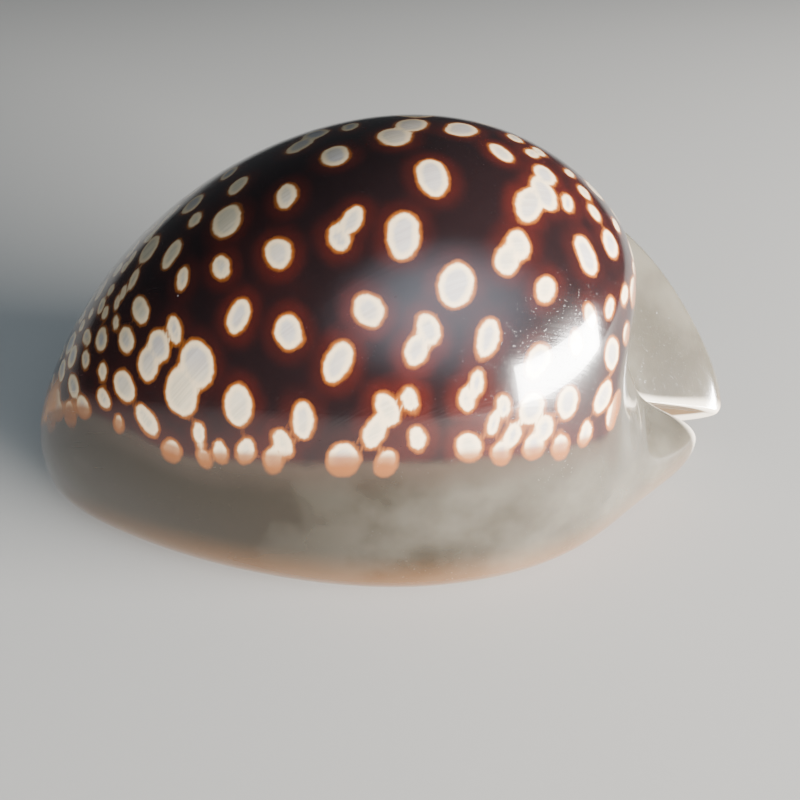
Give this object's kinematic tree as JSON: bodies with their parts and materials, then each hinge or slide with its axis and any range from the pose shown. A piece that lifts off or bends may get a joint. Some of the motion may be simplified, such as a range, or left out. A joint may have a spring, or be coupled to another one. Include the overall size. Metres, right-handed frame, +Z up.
{
  "type": "cowrie shell",
  "caption": "Polished humpback cowrie sea shell with a toothed slit along its flat base, lying base down.",
  "frame": {"origin": "middle of the shell's bounding box, on the plane it rests on", "axes": "+X towards the spire end, +Y towards the outer lip's side, +Z up through the hump"},
  "size_m": [0.0832, 0.0522, 0.0417],
  "materials": {
    "shell": "polished"
  },
  "bodies": {
    "root": {"cowrie_shell": "shell"}
  },
  "joints": []
}
